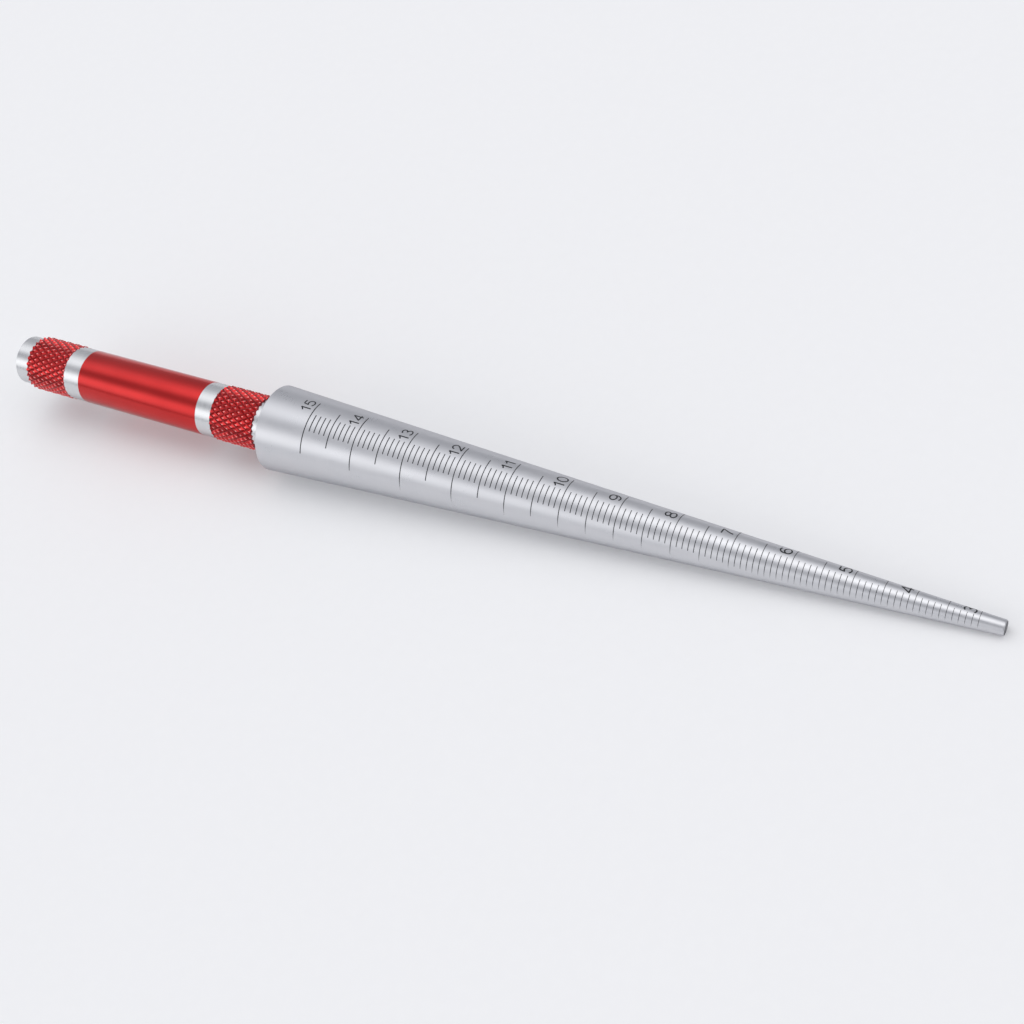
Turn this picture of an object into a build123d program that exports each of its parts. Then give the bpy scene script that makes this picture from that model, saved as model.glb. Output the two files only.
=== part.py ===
from build123d import *
from math import radians, tan
import os

os.makedirs("parts", exist_ok=True)

# A taper gauge: a graduated steel cone that is pushed into a hole, on a turned aluminium handle.
# The tool's axis is +X. X is 0 at the handle's end face and grows towards the cone's tip.
# All sizes are in millimetres.

# The measuring cone
taper_ratio = 10.0  # length of cone for each millimetre of diameter
scale_top = 15.0  # the largest diameter on the scale
scale_top_x = 68.5  # where the cone measures that diameter
tip_x = 192.5
tip_edge_break = 0.25
shoulder_edge_break = 0.15

# The handle, from its end face to the cone: each step's length and diameter
end_band_length = 3.2
knurl_length = 9.2
rear_groove_band_length = 3.5
grip_length = 27.6
front_groove_band_length = 3.3
neck_band_length = 3.0
end_band_diameter = 9.2
neck_band_diameter = 9.6
groove_band_diameter = 10.15
grip_diameter = 10.2
knurl_diameter = 10.5
end_chamfer = 0.1

# The hidden stud that screws the two together, M6 with its crests 0.03 mm clear of the tapped holes
thread_diameter = 6.0
thread_clearance = 0.03
stud_length = 18.0
stud_chamfer = 0.8
hex_socket_across_flats = 3.0
hex_socket_depth = 3.5
hole_spare_depth = 1.5
hole_countersink = 0.5
drill_point_half_angle = 59.0

handle_steps = [
    (end_band_length, end_band_diameter),
    (knurl_length, knurl_diameter),
    (rear_groove_band_length, groove_band_diameter),
    (grip_length, grip_diameter),
    (front_groove_band_length, groove_band_diameter),
    (knurl_length, knurl_diameter),
    (neck_band_length, neck_band_diameter),
]
joint_x = sum(length for length, diameter in handle_steps)
hole_radius = thread_diameter / 2
stud_radius = hole_radius - thread_clearance
hole_depth = stud_length / 2 + hole_spare_depth


def cone_radius(x):
    """The cone's radius at x, from its taper."""
    return (scale_top - (x - scale_top_x) / taper_ratio) / 2


def tapped_hole_profile(inwards):
    """Half the section of a tapped hole in the joint plane, with its countersink and drill point.

    inwards is +1 for the hole that runs towards the tip and -1 for the one in the handle.
    """
    drill_point = hole_radius / tan(radians(drill_point_half_angle))
    with BuildSketch() as profile:
        with BuildLine():
            Polyline(
                (joint_x, 0),
                (joint_x, hole_radius + hole_countersink),
                (joint_x + inwards * hole_countersink, hole_radius),
                (joint_x + inwards * hole_depth, hole_radius),
                (joint_x + inwards * (hole_depth + drill_point), 0),
                close=True,
            )
        make_face()
    return profile.sketch


# Handle: one turned bar, stepped for its bare bands, its grip and its two knurled rings
with BuildPart() as handle:
    start = 0.0
    for length, diameter in handle_steps:
        with BuildSketch(Plane.YZ.offset(start)):
            Circle(diameter / 2)
        extrude(amount=length)
        start += length
    chamfer(handle.edges().group_by(Axis.X)[0], end_chamfer)
    revolve(tapped_hole_profile(-1), axis=Axis.X, mode=Mode.SUBTRACT)
handle.part.label = "handle"
export_step(handle.part, "parts/handle.step")

# Taper gauge: the solid steel cone, with its edges broken and its large end tapped
with BuildPart() as taper_gauge:
    with BuildSketch():
        with BuildLine():
            Polyline(
                (joint_x, 0),
                (joint_x, cone_radius(joint_x)),
                (tip_x, cone_radius(tip_x)),
                (tip_x, 0),
                close=True,
            )
        make_face()
    revolve(axis=Axis.X)
    circles = taper_gauge.edges().filter_by(GeomType.CIRCLE)
    shoulder_edge = circles.group_by(Axis.X)[0]
    tip_edge = circles.group_by(Axis.X)[-1]
    fillet(shoulder_edge, shoulder_edge_break)
    fillet(tip_edge, tip_edge_break)
    revolve(tapped_hole_profile(1), axis=Axis.X, mode=Mode.SUBTRACT)
taper_gauge.part.label = "taper_gauge"
export_step(taper_gauge.part, "parts/taper_gauge.step")

# Joining stud: a headless set screw, half in the handle and half in the cone
with BuildPart() as joining_stud:
    with BuildSketch(Plane.YZ.offset(joint_x - stud_length / 2)):
        Circle(stud_radius)
    extrude(amount=stud_length)
    chamfer(joining_stud.edges().filter_by(GeomType.CIRCLE), stud_chamfer)
    with BuildSketch(Plane.YZ.offset(joint_x - stud_length / 2)):
        RegularPolygon(hex_socket_across_flats / 2, side_count=6, major_radius=False)
    extrude(amount=hex_socket_depth, mode=Mode.SUBTRACT)
joining_stud.part.label = "joining_stud"
export_step(joining_stud.part, "parts/joining_stud.step")
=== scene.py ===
from math import asin, ceil, cos, pi, radians, sin, tan

import bpy
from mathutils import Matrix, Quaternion, Vector


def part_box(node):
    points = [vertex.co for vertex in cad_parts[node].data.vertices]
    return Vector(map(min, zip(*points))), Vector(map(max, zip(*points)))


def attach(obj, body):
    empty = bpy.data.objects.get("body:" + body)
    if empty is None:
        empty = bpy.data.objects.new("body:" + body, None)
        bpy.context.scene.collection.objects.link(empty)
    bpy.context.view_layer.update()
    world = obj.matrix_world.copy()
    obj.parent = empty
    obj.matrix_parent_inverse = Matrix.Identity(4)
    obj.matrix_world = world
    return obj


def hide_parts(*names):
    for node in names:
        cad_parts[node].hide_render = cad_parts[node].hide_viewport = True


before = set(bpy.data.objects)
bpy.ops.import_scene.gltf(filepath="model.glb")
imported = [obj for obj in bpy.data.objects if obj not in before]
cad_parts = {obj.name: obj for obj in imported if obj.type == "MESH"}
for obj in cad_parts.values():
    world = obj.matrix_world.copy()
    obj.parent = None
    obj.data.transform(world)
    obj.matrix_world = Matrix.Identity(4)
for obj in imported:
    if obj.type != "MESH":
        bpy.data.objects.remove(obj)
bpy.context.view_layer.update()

# Sizes are in millimetres and X is along the tool's axis, from the handle's end face to the tip.
# MM turns them into the scene's metres.
MM = 0.001

# ---- Sizes of the tool, worked out from the frame ------------------------------------------------

HANDLE_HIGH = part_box("handle")[1]
GAUGE_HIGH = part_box("taper_gauge")[1]
JOINT_X = HANDLE_HIGH.x / MM
TIP_X = GAUGE_HIGH.x / MM

TAPER_RATIO = 10.0  # length of cone for each millimetre of diameter
SCALE_TOP = 15  # the largest diameter on the scale
SCALE_BOTTOM = 3
SCALE_TOP_X = 68.5  # where the cone measures the largest diameter
SHOULDER_BREAK = 0.15
TIP_BREAK = 0.25
EDGE_BREAK = 0.04
INNER_RING = 0.5  # the radius at which an end face's mesh turns from a ring into a fan
TIP_INNER_RING = 0.3

END_BAND_RADIUS = 4.6
NECK_BAND_RADIUS = 4.8
GROOVE_BAND_RADIUS = 5.075
GRIP_RADIUS = 5.1
KNURL_RADIUS = HANDLE_HIGH.z / MM
END_CHAMFER = 0.1
KNURL_STARTS = 27  # helical grooves of each hand
KNURL_ANGLE = radians(31)  # between a groove and the axis
KNURL_PITCH = 2 * pi * KNURL_RADIUS / KNURL_STARTS / tan(KNURL_ANGLE)  # along the axis
KNURL_DEPTH = 0.42
CREST_FLAT = 0.17  # the share of each pitch left flat on a crest
CELLS_PER_PITCH = 14
# The handle's steps from its end face: name, length, radius
HANDLE_STEPS = [
    ("end_band", 3.2, END_BAND_RADIUS),
    ("rear_knurl", 9.2, KNURL_RADIUS),
    ("rear_groove_band", 3.5, GROOVE_BAND_RADIUS),
    ("grip", 27.6, GRIP_RADIUS),
    ("front_groove_band", 3.3, GROOVE_BAND_RADIUS),
    ("front_knurl", 9.2, KNURL_RADIUS),
    ("neck_band", 3.0, NECK_BAND_RADIUS),
]


def cone_radius(x):
    """The cone's radius at x, from its taper."""
    return (SCALE_TOP - (x - SCALE_TOP_X) / TAPER_RATIO) / 2


# ---- Mesh helpers --------------------------------------------------------------------------------


def on_axis(x, radius, angle):
    """The point at x, that far from the tool's axis. The angle runs from +Y towards +Z."""
    return (x * MM, radius * cos(angle) * MM, radius * sin(angle) * MM)


def make_piece(name, vertices, faces, material, sharp_angle=30):
    """A smooth-shaded mesh that rides on the tool, with edges sharper than the angle kept sharp."""
    mesh = bpy.data.meshes.new(name)
    mesh.from_pydata(vertices, [], faces)
    mesh.validate()
    mesh.polygons.foreach_set("use_smooth", [True] * len(mesh.polygons))
    mesh.set_sharp_from_angle(angle=radians(sharp_angle))
    mesh.materials.append(material)
    piece = bpy.data.objects.new(name, mesh)
    bpy.context.scene.collection.objects.link(piece)
    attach(piece, "root")
    return piece


def revolved_grid(stations, segments, radius_at):
    """Vertices and faces of a closed solid round the axis: a ring at each x, and a fan on each end.

    radius_at(station, x, angle) gives the surface's radius.
    """
    vertices = []
    for station, x in enumerate(stations):
        for k in range(segments):
            angle = 2 * pi * k / segments
            vertices.append(on_axis(x, radius_at(station, x, angle), angle))
    faces = []
    for station in range(len(stations) - 1):
        for k in range(segments):
            after = (k + 1) % segments
            low, high = station * segments, (station + 1) * segments
            faces.append((low + k, high + k, high + after, low + after))
    first, last = len(vertices), len(vertices) + 1
    vertices += [on_axis(stations[0], 0, 0), on_axis(stations[-1], 0, 0)]
    top = (len(stations) - 1) * segments
    for k in range(segments):
        after = (k + 1) % segments
        faces.append((first, k, after))
        faces.append((last, top + after, top + k))
    return vertices, faces


def rounded(corner_x, radius_at, size, side, steps=5):
    """Outline points round a broken edge at corner_x, from smaller x to larger.

    radius_at(x) is the unbroken outline, and side is +1 where the solid lies at larger x.
    """
    points = []
    for k in range(steps + 1):
        turn = pi / 2 * k / steps
        x = corner_x + side * size * (1 - sin(turn))
        points.append((x, radius_at(x) - size * (1 - cos(turn))))
    return points if side < 0 else points[::-1]


def lathe(name, outline, material, segments=384):
    """A closed solid of revolution from its outline, a list of (x, radius)."""
    stations = [x for x, radius in outline]
    radii = [radius for x, radius in outline]
    vertices, faces = revolved_grid(stations, segments, lambda station, x, angle: radii[station])
    return make_piece(name, vertices, faces, material)


# ---- Materials -----------------------------------------------------------------------------------


class Material:
    """A procedural material built round one Principled shader, with short calls for its nodes."""

    def __init__(self, name, **sockets):
        self.material = bpy.data.materials.new(name)
        self.material.use_nodes = True
        self.tree = self.material.node_tree
        self.shader = self.tree.nodes["Principled BSDF"]
        for socket, value in sockets.items():
            self.shader.inputs[socket.replace("_", " ")].default_value = value

    def node(self, kind, **values):
        """A node, with its inputs linked where the value is a socket and set where it isn't."""
        made = self.tree.nodes.new("ShaderNode" + kind)
        for key, value in values.items():
            if key.startswith("in_"):
                target = made.inputs[int(key[3:])] if key[3:].isdigit() else made.inputs[key[3:]]
                self.put(value, target)
            else:
                setattr(made, key, value)
        return made

    def put(self, value, target):
        """Link a socket to the target, or set the target's value."""
        if isinstance(value, bpy.types.NodeSocket):
            self.tree.links.new(value, target)
        else:
            target.default_value = value

    def position(self, scale):
        """The point's place on the tool, stretched by the scale along X, Y and Z, in 1/mm."""
        place = self.node("TexCoord").outputs["Object"]
        stretch = [factor / MM for factor in scale]
        return self.node("Mapping", in_0=place, in_Scale=stretch).outputs["Vector"]

    def noise(self, scale, detail=3.0, roughness=0.5):
        """Noise with one cell per 1/scale millimetres along each axis."""
        made = self.node("TexNoise", in_Vector=self.position(scale), in_Scale=1.0)
        made.inputs["Detail"].default_value = detail
        made.inputs["Roughness"].default_value = roughness
        return made.outputs["Fac"]

    def ramp(self, value, low, high, out_low, out_high):
        """value taken from the range low to high onto out_low to out_high, and held there."""
        return self.node(
            "MapRange", in_0=value, in_1=low, in_2=high, in_3=out_low, in_4=out_high
        ).outputs[0]

    def mix(self, factor, first, second):
        """A colour between two colours."""
        made = self.node("Mix", data_type="RGBA")
        self.put(factor, made.inputs["Factor"])
        self.put(first, made.inputs[6])
        self.put(second, made.inputs[7])
        return made.outputs[2]

    def add(self, first, second, operation="ADD"):
        """The sum of two values, or another operation on them."""
        return self.node("Math", operation=operation, in_0=first, in_1=second).outputs[0]

    def along(self):
        """The place along the tool's axis, in millimetres."""
        place = self.node("TexCoord").outputs["Object"]
        return self.add(self.node("SeparateXYZ", in_0=place).outputs["X"], MM, "DIVIDE")

    def axis_distance(self):
        """The distance from the tool's axis, in millimetres."""
        place = self.node("TexCoord").outputs["Object"]
        parts = self.node("SeparateXYZ", in_0=place)
        y_squared = self.add(parts.outputs["Y"], parts.outputs["Y"], "MULTIPLY")
        z_squared = self.add(parts.outputs["Z"], parts.outputs["Z"], "MULTIPLY")
        distance = self.add(self.add(y_squared, z_squared), 0.5, "POWER")
        return self.add(distance, MM, "DIVIDE")

    def colour(self, value):
        self.put(value, self.shader.inputs["Base Color"])

    def vary(self, value, first, second, low=0.3, high=0.7):
        """Colour the surface from first to second as the value goes from low to high."""
        self.colour(self.mix(self.ramp(value, low, high, 0.0, 1.0), first, second))

    def roughness(self, value):
        self.put(value, self.shader.inputs["Roughness"])

    def bump(self, height, depth):
        """Bump whose full height is the depth, in millimetres."""
        made = self.node("Bump", in_Height=height, in_Distance=depth * MM, in_Strength=1.0)
        self.put(made.outputs["Normal"], self.shader.inputs["Normal"])

    def turned(self):
        """Let the gloss spread as on a surface that was turned round the tool's axis."""
        tangent = self.node("Tangent", direction_type="RADIAL", axis="X")
        self.put(tangent.outputs["Tangent"], self.shader.inputs["Tangent"])


def satin_steel():
    """Ground steel, with a fine satin grain round the axis and faint cloudy handling marks.

    The tip's end face is painted near black, a painted dark reflection.
    """
    edge_tint = (0.68, 0.68, 0.70, 1)
    steel = Material("satin_steel", Metallic=1.0, Anisotropic=0.4, Specular_Tint=edge_tint)
    grain = steel.noise((14.0, 0.4, 0.4), detail=3.0)
    haze = steel.noise((0.16, 0.3, 0.3), detail=4.0, roughness=0.6)
    tint = steel.add(steel.ramp(grain, 0.3, 0.7, 0.0, 0.45), steel.ramp(haze, 0.35, 0.65, 0.0, 0.55))
    satin_tint = steel.mix(tint, (0.61, 0.615, 0.64, 1), (0.65, 0.65, 0.67, 1))
    # Painted reflection: the tip's end face is coloured near black to stand in for the dark it
    # mirrors.
    painted_dark_tip_face = steel.ramp(steel.along(), TIP_X - TIP_BREAK / 4, TIP_X - TIP_BREAK / 8, 0.0, 1.0)
    steel.colour(steel.mix(painted_dark_tip_face, satin_tint, (0.17, 0.17, 0.175, 1)))
    satin = steel.ramp(grain, 0.3, 0.7, 0.29, 0.33)
    steel.roughness(steel.add(satin, steel.ramp(haze, 0.35, 0.65, -0.03, 0.03)))
    steel.bump(grain, 0.00025)
    steel.turned()
    return steel.material


def bare_aluminium():
    """Bright turned aluminium, with the tool's fine feed marks round the axis."""
    edge_tint = (0.75, 0.75, 0.76, 1)
    metal = Material("bare_aluminium", Metallic=1.0, Anisotropic=0.5, Specular_Tint=edge_tint)
    feed = metal.noise((14.0, 0.1, 0.1), detail=2.0)
    metal.vary(feed, (0.65, 0.66, 0.67, 1), (0.72, 0.72, 0.73, 1))
    metal.roughness(metal.ramp(feed, 0.3, 0.7, 0.16, 0.26))
    metal.bump(feed, 0.002)
    metal.turned()
    return metal.material


def anodised_red():
    """Red dyed anodising over fine turned aluminium, under its clear sealed skin."""
    coat = {"Coat_Weight": 0.6, "Coat_Roughness": 0.12, "Coat_IOR": 1.5}
    red = Material("anodised_red", Metallic=1.0, Specular_Tint=(0.75, 0.5, 0.5, 1), **coat)
    grain = red.noise((12.0, 0.3, 0.3), detail=3.0)
    cloud = red.noise((0.15, 0.3, 0.3), detail=2.0)
    red.vary(cloud, (0.53, 0.010, 0.010, 1), (0.57, 0.014, 0.013, 1), low=0.35, high=0.65)
    red.roughness(red.ramp(grain, 0.3, 0.7, 0.20, 0.25))
    red.bump(grain, 0.0003)
    red.turned()
    return red.material


def knurled_red():
    """The same anodising on a knurl, with painted shade darkening its grooves and paler points that
    are partly rubbed wear and partly a painted highlight.
    """
    coat = {"Coat_Weight": 0.5, "Coat_Roughness": 0.1, "Coat_IOR": 1.5}
    red = Material("knurled_red", Metallic=1.0, **coat)
    grain = red.noise((5.0, 5.0, 5.0), detail=3.0)
    distance = red.axis_distance()
    mottle = red.ramp(grain, 0.3, 0.7, 0.0, 1.0)
    body = red.mix(mottle, (0.52, 0.012, 0.014, 1), (0.62, 0.022, 0.024, 1))
    bottom = KNURL_RADIUS - KNURL_DEPTH
    # Painted shade: the grooves' bottoms are darkened towards near black, where shade falls.
    groove = red.ramp(distance, bottom, bottom + KNURL_DEPTH / 2, 0.8, 0.0)
    # Paler crests: partly rubbed wear, partly a painted highlight standing in for glints.
    wear_and_glint = red.ramp(distance, KNURL_RADIUS - 0.09, KNURL_RADIUS - 0.01, 0.0, 0.8)
    shaded = red.mix(groove, body, (0.14, 0.002, 0.004, 1))
    red.colour(red.mix(wear_and_glint, shaded, (0.95, 0.33, 0.31, 1)))
    red.roughness(red.ramp(grain, 0.3, 0.7, 0.12, 0.22))
    red.bump(grain, 0.002)
    return red.material


def scale_dark():
    """The burnt, matt grey-black of laser marks, a little uneven along each line."""
    mark = Material("scale_dark", Metallic=0.0, Specular_IOR_Level=0.3)
    patches = mark.noise((4.0, 4.0, 4.0), detail=3.0)
    mark.vary(patches, (0.018, 0.019, 0.022, 1), (0.036, 0.037, 0.042, 1))
    mark.roughness(mark.ramp(patches, 0.3, 0.7, 0.55, 0.75))
    mark.bump(patches, 0.002)
    return mark.material


def black_oxide():
    """The set screw's blackened steel."""
    oxide = Material("black_oxide", Metallic=1.0)
    patches = oxide.noise((1.5, 1.5, 1.5), detail=4.0)
    oxide.vary(patches, (0.05, 0.05, 0.055, 1), (0.11, 0.11, 0.12, 1))
    oxide.roughness(oxide.ramp(patches, 0.3, 0.7, 0.35, 0.5))
    oxide.bump(patches, 0.003)
    return oxide.material


STEEL = satin_steel()
BARE = bare_aluminium()
RED = anodised_red()
KNURLED = knurled_red()
DARK = scale_dark()
OXIDE = black_oxide()


# ---- The measuring cone --------------------------------------------------------------------------


def build_cone():
    """The steel cone, with its two edges broken."""
    shoulder = [(JOINT_X, INNER_RING), *rounded(JOINT_X, cone_radius, SHOULDER_BREAK, +1)]
    tip = [*rounded(TIP_X, cone_radius, TIP_BREAK, -1), (TIP_X, TIP_INNER_RING)]
    cone = lathe("measuring_cone", shoulder + tip, STEEL)
    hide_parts("taper_gauge")


# ---- The handle ----------------------------------------------------------------------------------


def knurl_radius(x, angle):
    """The radius of a diamond knurl: two families of V grooves that cross, and the deeper one wins."""
    across = angle * KNURL_STARTS / (2 * pi)
    cut = 0.0
    for turn in (across + x / KNURL_PITCH, across - x / KNURL_PITCH):
        from_groove = abs(turn - round(turn)) * 2
        cut = max(cut, 1 - min(1.0, from_groove / (1 - CREST_FLAT)))
    return KNURL_RADIUS - KNURL_DEPTH * cut


def build_knurl(name, start, length):
    """One knurled ring of the handle."""
    rows = ceil(length / KNURL_PITCH * CELLS_PER_PITCH)
    stations = [start + length * k / rows for k in range(rows + 1)]
    segments = KNURL_STARTS * CELLS_PER_PITCH
    vertices, faces = revolved_grid(
        stations, segments, lambda station, x, angle: knurl_radius(x, angle)
    )
    return make_piece(name, vertices, faces, KNURLED, sharp_angle=20)


def build_handle():
    """The handle's bare bands, knurled rings and grip, which meet end to end as one turned bar."""
    made = []
    start = 0.0
    for name, length, radius in HANDLE_STEPS:
        end = start + length
        if "knurl" in name:
            made.append(build_knurl(name, start, length))
        elif name == "end_band":
            chamfer = [(0.0, radius - END_CHAMFER), (END_CHAMFER, radius)]
            outline = [(0.0, INNER_RING), *chamfer, (end, radius)]
            made.append(lathe(name, outline, BARE))
        elif name == "grip":
            ends = [(start, +1), (end, -1)]
            outline = [
                point
                for x, side in ends
                for point in rounded(x, lambda at: GRIP_RADIUS, EDGE_BREAK, side)
            ]
            made.append(lathe(name, outline, RED))
        else:
            made.append(lathe(name, [(start, radius), (end, radius)], BARE))
        start = end
    for piece in made:
        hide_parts("handle")


# ---- The scale -----------------------------------------------------------------------------------
# The marks are laid out flat and laser marked straight down on the cone along one line, so they
# stretch round it towards its sides and fade out where the beam only grazes the steel. Along is x,
# and across is the flat distance from that line, on which the shortest marks begin. Across grows
# away from the numerals.

SCALE_ANGLE = radians(90)  # that line's angle round the axis
MARK_WIDTH = 0.045  # and this much more for each millimetre of the cone's radius
MARK_WIDENING = 0.0195
NUMERAL_WIDTH = 0.25
MARK_RISE = 0.006  # the marks' dark skin stands this little over the steel
MARK_SINK = 0.03
# Where each length of mark begins and ends, across
MARK_SPANS = {"tenth": (0.0, 3.22), "half": (-1.58, 4.87), "whole": (-2.92, 6.4)}
FADE_START = radians(57)  # the turn from the line at which a mark starts to thin out
FADE_END = radians(80)
ARC_STEP = radians(3)
STROKE_STEP = 0.1

CAP_HEIGHT = 1.9
NUMERAL_RISE = 0.76  # from a whole mark up to its numeral's foot
NUMERAL_CENTRE = -1.63
NARROW_CENTRE = -0.43  # a numeral's centre on the thin end, as a share of the radius
NUMERAL_END = radians(50)  # the turn within which every numeral fits
DIGIT_GAP = 0.67


def turn_at(along, across):
    """How far round the cone from the line a flat place falls."""
    return asin(max(-1.0, min(1.0, across / cone_radius(along))))


def fade(turn):
    """The share of its width that a mark keeps at that turn from the line."""
    return max(0.0, min(1.0, (FADE_END - abs(turn)) / (FADE_END - FADE_START)))


def ribbon(vertices, faces, path, width, closed=False, thinned=False):
    """Add a thin closed strip on the cone, along a path of (along, turn) points."""
    first = len(vertices)
    count = len(path)
    for k, (along, turn) in enumerate(path):
        before = path[(k - 1) % count] if closed or k > 0 else path[k]
        after = path[(k + 1) % count] if closed or k < count - 1 else path[k]
        radius = cone_radius(along)
        ahead = Vector((after[0] - before[0], (after[1] - before[1]) * radius)).normalized()
        half = width / 2 * (max(0.15, fade(turn)) if thinned else 1)
        step_x, step_turn = -ahead.y * half, ahead.x * half / radius
        for lift in (MARK_RISE, -MARK_SINK):
            for sign in (1, -1):
                x = along + sign * step_x
                angle = SCALE_ANGLE + turn + sign * step_turn
                vertices.append(on_axis(x, cone_radius(x) + lift, angle))
    for k in range(count if closed else count - 1):
        a, b = first + 4 * k, first + 4 * ((k + 1) % count)
        for p, q in ((0, 1), (1, 3), (3, 2), (2, 0)):
            faces.append((a + p, a + q, b + q, b + p))
    if not closed:
        end = first + 4 * (count - 1)
        faces.append((first, first + 2, first + 3, first + 1))
        faces.append((end, end + 1, end + 3, end + 2))


def build_graduations():
    """The marks for each tenth of a millimetre of diameter."""
    vertices, faces = [], []
    for tenth in range((SCALE_TOP - SCALE_BOTTOM) * 10 + 1):
        kind = "whole" if tenth % 10 == 0 else "half" if tenth % 5 == 0 else "tenth"
        along = SCALE_TOP_X + tenth * TAPER_RATIO / 10
        low, high = (max(-FADE_END, min(FADE_END, turn_at(along, y))) for y in MARK_SPANS[kind])
        steps = ceil((high - low) / ARC_STEP)
        path = [(along, low + (high - low) * k / steps) for k in range(steps + 1)]
        ribbon(vertices, faces, path, MARK_WIDTH + MARK_WIDENING * cone_radius(along), thinned=True)
    make_piece("graduations", vertices, faces, DARK)


def arc(centre_x, centre_y, half_width, half_height, start, end):
    """Points round part of an ellipse, between two angles in degrees."""
    steps = max(3, ceil(abs(end - start) / 15))
    turns = [radians(start + (end - start) * k / steps) for k in range(steps + 1)]
    return [(centre_x + half_width * cos(t), centre_y + half_height * sin(t)) for t in turns]


# Single-stroke digits: each is its width and its strokes, in units of the cap height
DIGITS = {
    "0": (0.66, [arc(0.33, 0.5, 0.33, 0.5, 0, 360)]),
    "1": (0.31, [[(0.0, 0.72), (0.19, 0.83), (0.31, 1.0), (0.31, 0.0)]]),
    "2": (0.66, [arc(0.32, 0.69, 0.30, 0.31, 170, -25) + [(0.42, 0.36), (0.0, 0.0), (0.66, 0.0)]]),
    "3": (0.64, [arc(0.31, 0.77, 0.27, 0.23, 150, -90) + arc(0.31, 0.27, 0.33, 0.27, 85, -150)]),
    "4": (0.70, [[(0.50, 0.0), (0.50, 1.0), (0.0, 0.27), (0.70, 0.27)]]),
    "5": (0.69, [[(0.62, 1.0), (0.16, 1.0), (0.09, 0.55)] + arc(0.35, 0.32, 0.34, 0.32, 130, -150)]),
    "6": (0.66, [arc(0.35, 0.58, 0.35, 0.42, 50, 180) + arc(0.33, 0.31, 0.33, 0.31, 180, 540)]),
    "7": (0.62, [[(0.0, 1.0), (0.62, 1.0), (0.40, 0.58), (0.28, 0.28), (0.22, 0.0)]]),
    "8": (0.68, [arc(0.34, 0.77, 0.27, 0.23, 270, 630), arc(0.34, 0.27, 0.34, 0.27, 90, 450)]),
    "9": (0.68, [arc(0.33, 0.42, 0.35, 0.42, 230, 360) + arc(0.34, 0.69, 0.34, 0.31, 0, 360)]),
}


def resampled(stroke):
    """The stroke's points, with more between them so that it can follow the cone."""
    points = [stroke[0]]
    for start, end in zip(stroke, stroke[1:]):
        length = (Vector(end) - Vector(start)).length * CAP_HEIGHT
        steps = max(1, ceil(length / STROKE_STEP))
        for k in range(1, steps + 1):
            points.append(tuple(Vector(start).lerp(Vector(end), k / steps)))
    return points


def build_numerals():
    """The whole diameters, read with the handle up, each over its mark."""
    vertices, faces = [], []
    for number in range(SCALE_BOTTOM, SCALE_TOP + 1):
        mark_x = SCALE_TOP_X + (SCALE_TOP - number) * TAPER_RATIO
        digits = [DIGITS[digit] for digit in str(number)]
        width = sum(wide for wide, strokes in digits) * CAP_HEIGHT + DIGIT_GAP * (len(digits) - 1)
        radius = cone_radius(mark_x - NUMERAL_RISE - CAP_HEIGHT / 2)
        centre = max(NUMERAL_CENTRE, NARROW_CENTRE * radius)
        squeeze = min(1.0, 2 * (radius * sin(NUMERAL_END) + centre) / width)
        start = centre + width * squeeze / 2
        for wide, strokes in digits:
            for stroke in strokes:
                path = []
                for u, v in resampled(stroke):
                    along = mark_x - NUMERAL_RISE - v * CAP_HEIGHT
                    path.append((along, turn_at(along, start - u * CAP_HEIGHT * squeeze)))
                closed = (Vector(stroke[0]) - Vector(stroke[-1])).length < 0.01
                ribbon(vertices, faces, path[:-1] if closed else path, NUMERAL_WIDTH, closed)
            start -= (wide * CAP_HEIGHT + DIGIT_GAP) * squeeze
    make_piece("numerals", vertices, faces, DARK)


# ---- Stage ---------------------------------------------------------------------------------------

FLOOR_HALF = 3.0  # metres
CAMERA_PLACE = (0.22849, -0.14150, 0.23342)
CAMERA_TARGET = (0.10717, -0.00170, -0.00371)
CAMERA_ROLL = radians(-18.67)
CAMERA_LENS = 61.1


def build_floor():
    """A plain pale floor that the cone lies on, so it rises towards the tip by half the taper."""
    slope = 1 / (2 * TAPER_RATIO)
    corners = []
    for x, y in ((-1, -1), (1, -1), (1, 1), (-1, 1)):
        place = x * FLOOR_HALF
        height = (place - SCALE_TOP_X * MM) * slope - SCALE_TOP / 2 * MM
        corners.append((place, y * FLOOR_HALF, height))
    mesh = bpy.data.meshes.new("floor")
    mesh.from_pydata(corners, [], [(0, 1, 2, 3)])
    paper = Material("floor_paper", Roughness=0.9, Specular_IOR_Level=0.1, Emission_Strength=0.06)
    paper.shader.inputs["Emission Color"].default_value = (1, 1, 1, 1)
    speckle = paper.noise((0.5, 0.5, 0.5))
    paper.colour(paper.mix(speckle, (0.90, 0.90, 0.905, 1), (0.92, 0.92, 0.925, 1)))
    mesh.materials.append(paper.material)
    floor = bpy.data.objects.new("floor", mesh)
    bpy.context.scene.collection.objects.link(floor)


# The studio round the tool: how bright it is at each angle in degrees above the front horizon, over
# the top and down to the back. Two soft boxes run along the tool with a darker gap between them. The
# three brightnesses are towards the handle's end, square to the tool, and towards the tip.
STUDIO = [
    (0, 0.62, 0.74, 0.40),
    (4, 0.60, 0.82, 0.40),
    (9, 0.97, 0.92, 0.42),
    (15, 1.35, 0.90, 0.50),
    (26, 1.54, 1.04, 0.55),
    (36, 1.54, 0.98, 0.50),
    (45, 1.16, 0.66, 0.38),
    (53, 0.72, 0.46, 0.32),
    (62, 0.55, 0.52, 0.34),
    (71, 0.56, 0.88, 0.60),
    (79, 0.80, 1.32, 0.88),
    (87, 1.14, 1.74, 1.08),
    (99, 1.26, 1.88, 1.13),
    (115, 1.10, 1.56, 0.97),
    (129, 0.80, 1.00, 0.64),
    (143, 0.62, 0.58, 0.42),
    (162, 0.56, 0.46, 0.34),
    (180, 0.60, 0.52, 0.34),
]
STUDIO_PEAK = 1.88
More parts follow.
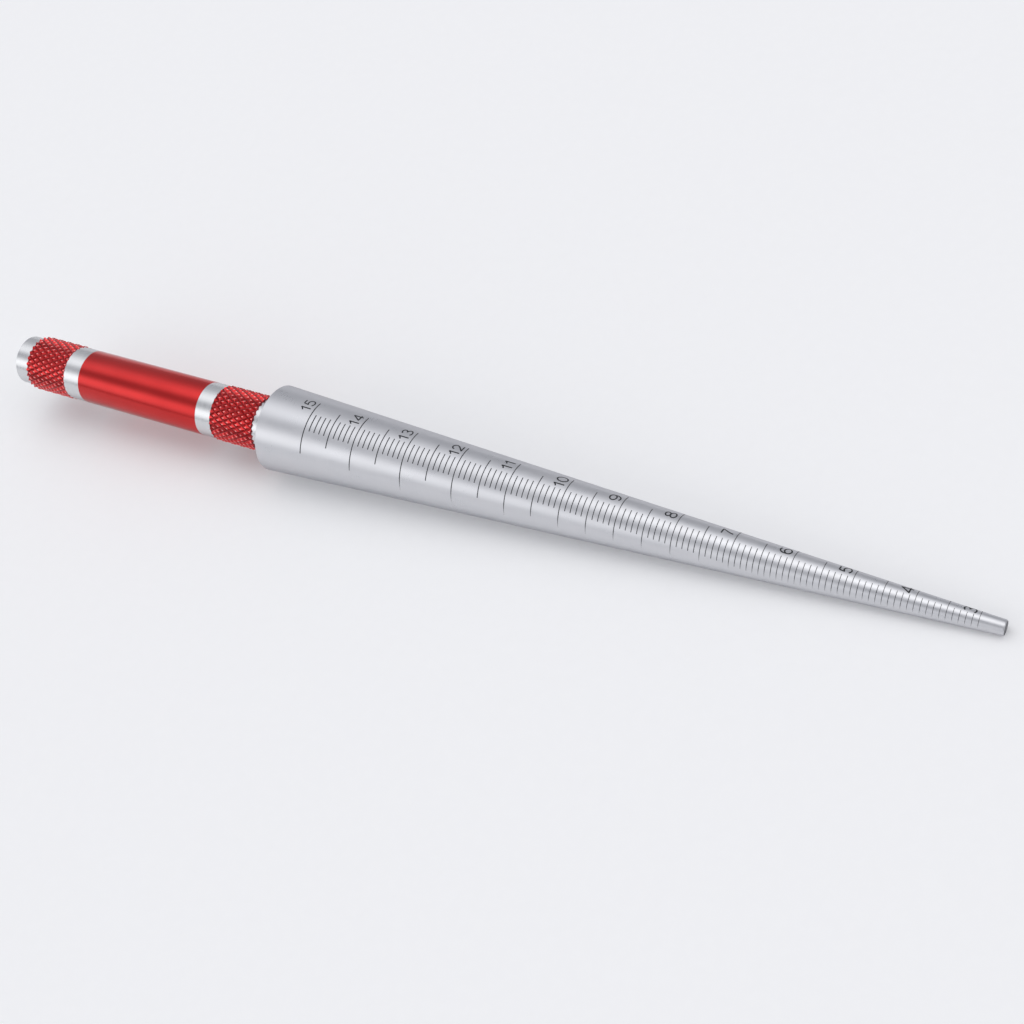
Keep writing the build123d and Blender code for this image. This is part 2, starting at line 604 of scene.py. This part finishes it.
HANDLE_WARD = -0.6  # the X part of a direction from which the handle's end's brightness holds
TIP_WARD = 0.5  # the same towards the tip
SHADE_RED, SHADE_GREEN = 0.10, 0.08  # what the darkest parts lack of these, so shade looks cool


def build_studio():
    """Soft light from all round, in strips that run along the tool."""
    world = bpy.data.worlds.new("studio")
    bpy.context.scene.world = world
    world.use_nodes = True
    tree = world.node_tree

    def node(kind, *values, **settings):
        """A node with those settings, and with its inputs linked or set in their order."""
        made = tree.nodes.new("ShaderNode" + kind)
        for name, value in settings.items():
            setattr(made, name, value)
        for target, value in zip(made.inputs, values):
            if isinstance(value, bpy.types.NodeSocket):
                tree.links.new(value, target)
            else:
                target.default_value = value
        return made

    def ramp(column, place):
        """The studio's brightness in one column, as a share of its peak."""
        made = node("ValToRGB", place)
        made.color_ramp.interpolation = "EASE"
        stops = made.color_ramp.elements
        while len(stops) < len(STUDIO):
            stops.new(1.0)
        for stop, row in zip(stops, STUDIO):
            stop.position = row[0] / 180
            level = row[column] / STUDIO_PEAK
            shade = 1 - level
            stop.color = (level * (1 - SHADE_RED * shade), level * (1 - SHADE_GREEN * shade), level, 1)
        return made.outputs["Color"]

    parts = node("SeparateXYZ", node("TexCoord").outputs["Generated"]).outputs
    forward = node("Math", parts["Y"], -1.0, operation="MULTIPLY").outputs[0]
    angle = node("Math", parts["Z"], forward, operation="ARCTAN2").outputs[0]
    share = node("Math", angle, pi, operation="DIVIDE").outputs[0]

    def blended(lean, first, second):
        """A mix of two colours by how far the direction leans along the tool."""
        made = node("Mix", data_type="RGBA")
        for socket, value in (("Factor", lean), (6, first), (7, second)):
            tree.links.new(value, made.inputs[socket])
        return made.outputs[2]

    from_handle = node("MapRange", parts["X"], HANDLE_WARD, 0.0, 0.0, 1.0).outputs[0]
    to_tip = node("MapRange", parts["X"], 0.0, TIP_WARD, 0.0, 1.0).outputs[0]
    light = blended(to_tip, blended(from_handle, ramp(1, share), ramp(2, share)), ramp(3, share))
    background = tree.nodes["Background"]
    background.inputs["Strength"].default_value = STUDIO_PEAK
    tree.links.new(light, background.inputs["Color"])


def build_camera():
    """The camera, aimed at the middle of the tool and turned a little about its line of sight."""
    data = bpy.data.cameras.new("camera")
    data.lens = CAMERA_LENS
    data.clip_start = 0.01
    camera = bpy.data.objects.new("camera", data)
    camera.location = CAMERA_PLACE
    aim = Vector(CAMERA_TARGET) - Vector(CAMERA_PLACE)
    camera.rotation_mode = "QUATERNION"
    camera.rotation_quaternion = aim.to_track_quat("-Z", "Y") @ Quaternion((0, 0, 1), CAMERA_ROLL)
    bpy.context.scene.collection.objects.link(camera)
    bpy.context.scene.camera = camera


build_cone()
build_handle()
build_graduations()
build_numerals()
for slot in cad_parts["joining_stud"].material_slots:
    slot.material = OXIDE
build_floor()
build_studio()
build_camera()
bpy.context.scene.view_settings.view_transform = "Standard"
